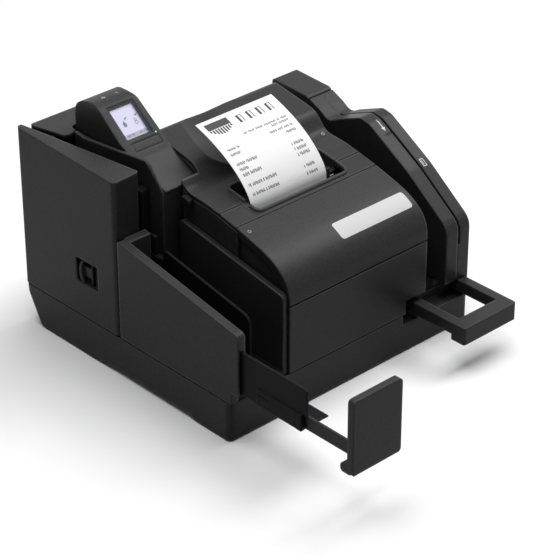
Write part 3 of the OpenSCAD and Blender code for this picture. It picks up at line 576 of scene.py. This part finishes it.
# Rows of words from the top down: the edge that they start or end at, their distance in from
# it, foot in Y, height, lengths of the words, and a seed that only varies the strokes
RECEIPT_ROWS = (
    ("right", -0.8, 112.4, 1.7, (3, 5, 6, 10, 2, 5), 2),
    ("right", 0, 109.4, 1.7, (5, 8), 5),
    ("left", 1, 104.8, 1.8, (7, 2), 4),
    ("right", 0, 104.8, 1.8, (6, 4, 4, 2), 1),
    ("left", 1, 100.6, 1.9, (8,), 6),
    ("right", 0, 100.6, 1.9, (8,), 3),
    ("left", 0, 93, 2, (7, 9), 2),
    ("right", 0.6, 91.4, 2, (1, 8), 4),
    ("left", 0, 89.2, 2, (7,), 0),
    ("right", 0.6, 87.6, 2, (1, 8), 2),
    ("left", 0, 85.6, 2, (5, 9), 1),
    ("right", 0.6, 84, 2, (1, 8), 3),
    ("left", 0, 79.5, 1.7, (2, 8, 1, 9), 5),
    ("right", 1.6, 77.4, 1.6, (1, 7), 4),
    ("left", 0, 75.2, 1.3, (2, 7, 1, 9), 3),
    ("right", 1.6, 74.3, 1.1, (1, 7), 1),
)


class ReceiptPrint(Print):
    """Rows of short strokes that stand for the text of a receipt."""

    def words(self, x, y, tall, lengths, seed):
        """Words of the given lengths from x on, drawn as strokes without any letter shapes."""
        for count in lengths:
            for k in range(count):
                kind = (seed * SEED_STEP + k * STROKE_STEP + count * LENGTH_STEP) % STROKE_KINDS
                self.stroke(x, y, tall, kind)
                x += STROKE_PITCH
            x += STROKE_PITCH

    def words_to(self, x, y, tall, lengths, seed):
        """The same, ending at x."""
        length = STROKE_PITCH * (sum(lengths) + len(lengths) - 1)
        self.words(x - length, y, tall, lengths, seed)

    def stroke(self, x, y, tall, kind):
        """One stroke of a word, which may be wide, cut short or have a foot on its right."""
        low = y + CUT_HEIGHT * tall * (kind == CUT_BELOW)
        high = y + tall * (1 - CUT_HEIGHT * (kind == CUT_ABOVE))
        self.bar(x, low, x + STROKE_PITCH * (STROKE_WIDTH + WIDE_EXTRA * (kind == WIDE)), high)
        if kind == FOOTED:
            foot = x + STROKE_PITCH * STROKE_WIDTH
            self.bar(foot, low, x + STROKE_PITCH * FOOT_END, low + FOOT_HEIGHT * tall)

    def emblem(self, x0, y0, x1, y1):
        """A dark block with a plain half sun of bars below it."""
        middle = (y0 + y1) / 2
        self.bar(x0, middle, x1, y1, rows=4)
        for k in range(-SUN_SIDE, SUN_SIDE + 1):
            foot = middle - (middle - y0) * math.cos(math.radians(SUN_TURN * k))
            x = (x0 + x1) / 2 + SUN_PITCH * k
            self.bar(x - SUN_HALF, foot, x + SUN_HALF, middle - SUN_GAP, rows=3)

    def heading(self, x, y, tall):
        """Pairs of a thick and a thin stroke, each pair with a bar on top."""
        for k in range(PAIRS):
            left = x + PAIR_PITCH * k
            self.bar(left, y, left + THICK_END, y + tall, rows=4)
            self.bar(left + THIN_START, y, left + THIN_END, y + tall, rows=4)
            self.bar(left, y + tall - PAIR_TOP, left + THIN_END, y + tall)


def receipt_print():
    """The emblem, the heading and the rows of words on the receipt."""
    receipt = ReceiptPrint("receipt_print", "receipt", black_ink, "printer_lid", "paper")
    receipt.emblem(*EMBLEM_BOX)
    receipt.heading(HEADING_X, HEADING_Y, HEADING_TALL)
    for side, inset, y, tall, lengths, seed in RECEIPT_ROWS:
        if side == "left":
            receipt.words(RECEIPT_LEFT + inset, y, tall, lengths, seed)
        else:
            receipt.words_to(RECEIPT_RIGHT - inset, y, tall, lengths, seed)
    receipt.finished()


# Studio, in metres from the point of the table under the scanner's middle

# How pale the floor is to the eye, and to the light that it throws back on the sides
FLOOR_SEEN, FLOOR_BOUNCE = 0.95, 0.16
# Distances between which the floor fades to plain white
FADE_START, FADE_END = 0.3, 0.8
FLOOR_SIZE = 14
# The floor lies this little below the scanner, so that the two don't share a plane
FLOOR_DROP = 0.2 * MM
SURROUND_LIGHT = 0.13
LAMPS_AIM = Vector((0, 0, 0.1))


def seen_rays(tree):
    """1 for rays from the camera, from mirrors and through glass, where the white shows."""
    path = tree.nodes.new("ShaderNodeLightPath")
    total = path.outputs["Is Camera Ray"]
    for name in ("Is Glossy Ray", "Is Transmission Ray"):
        add = tree.nodes.new("ShaderNodeMath")
        add.operation = "MAXIMUM"
        tree.links.new(total, add.inputs[0])
        tree.links.new(path.outputs[name], add.inputs[1])
        total = add.outputs[0]
    return total


def floor():
    """Pale floor that takes the shadow and fades to plain white further out. It throws back
    little light on the sides."""
    s = Shader("studio_floor")
    near = s.add("BsdfDiffuse", Color=(*grey(FLOOR_SEEN), 1))
    far = s.add("Emission", Color=(1, 1, 1, 1), Strength=1.0)
    distance = s.add("VectorMath", operation="LENGTH")
    s.join(s.place, "Object", distance, 0)
    fade = s.join(distance, "Value", s.ramp(FADE_START, FADE_END), "Value")
    seen = s.add("MixShader")
    s.join(fade, "Result", seen, 0)
    s.join(near, 0, seen, 1)
    s.join(far, 0, seen, 2)
    bounce = s.add("BsdfDiffuse", Color=(*grey(FLOOR_BOUNCE), 1))
    mix = s.add("MixShader")
    s.tree.links.new(seen_rays(s.tree), mix.inputs[0])
    s.join(bounce, 0, mix, 1)
    s.join(seen, 0, mix, 2)
    s.join(mix, 0, s.out, "Surface")
    s.material.cycles.emission_sampling = "NONE"
    bpy.ops.mesh.primitive_plane_add(size=FLOOR_SIZE, location=(0, 0, -FLOOR_DROP))
    plane = bpy.context.object
    plane.name = "floor"
    plane.data.materials.append(s.material)


def surround(light_level):
    """White to the eye, and a plain light level all round."""
    world = bpy.data.worlds.new("surround")
    bpy.context.scene.world = world
    world.use_nodes = True
    tree = world.node_tree
    tree.nodes.clear()
    out = tree.nodes.new("ShaderNodeOutputWorld")
    seen = tree.nodes.new("ShaderNodeBackground")
    light = tree.nodes.new("ShaderNodeBackground")
    seen.inputs["Color"].default_value = (1, 1, 1, 1)
    light.inputs["Color"].default_value = (1, 1, 1, 1)
    light.inputs["Strength"].default_value = light_level
    mix = tree.nodes.new("ShaderNodeMixShader")
    tree.links.new(seen_rays(tree), mix.inputs[0])
    tree.links.new(light.outputs[0], mix.inputs[1])
    tree.links.new(seen.outputs[0], mix.inputs[2])
    tree.links.new(mix.outputs[0], out.inputs["Surface"])


def lamp(name, place, size, watts):
    """A square lamp that points at the scanner."""
    data = bpy.data.lights.new(name, "AREA")
    data.size = size
    data.energy = watts
    obj = bpy.data.objects.new(name, data)
    obj.location = place
    toward = LAMPS_AIM - Vector(place)
    obj.rotation_euler = toward.to_track_quat("-Z", "Y").to_euler()
    bpy.context.scene.collection.objects.link(obj)


def studio():
    floor()
    surround(SURROUND_LIGHT)
    lamp("top_lamp", (0.0, 0.1, 2.2), size=2.0, watts=45)
    lamp("key_lamp", (1.1, -0.1, 1.5), size=0.8, watts=15)


# Camera, from the base's front left corner in millimetres and degrees
CAMERA_PLACE = (-965, -1085, 1006)
CAMERA_YAW = 43.12
CAMERA_PITCH = 30.74
# Focal length in pixels of the photograph, and the photograph's width
LENS_PIXELS, IMAGE_PIXELS = 2346.7, 560
# The width in millimetres that Blender gives its sensor
SENSOR_WIDTH = 36
# The furthest that the camera sees, in metres
CAMERA_REACH = 50


def camera():
    data = bpy.data.cameras.new("camera")
    data.sensor_width = SENSOR_WIDTH
    data.lens = SENSOR_WIDTH * LENS_PIXELS / IMAGE_PIXELS
    data.clip_end = CAMERA_REACH
    eye = bpy.data.objects.new("camera", data)
    eye.location = at(*CAMERA_PLACE)
    eye.rotation_euler = (math.radians(90 - CAMERA_PITCH), 0, math.radians(-CAMERA_YAW))
    bpy.context.scene.collection.objects.link(eye)
    bpy.context.scene.camera = eye


bpy.context.scene.view_settings.view_transform = "Standard"
camera()
dress_nodes()
front_label()
cover_marks()
hood_marks()
reader_marks()
screen_icons()
receipt_print()
studio()
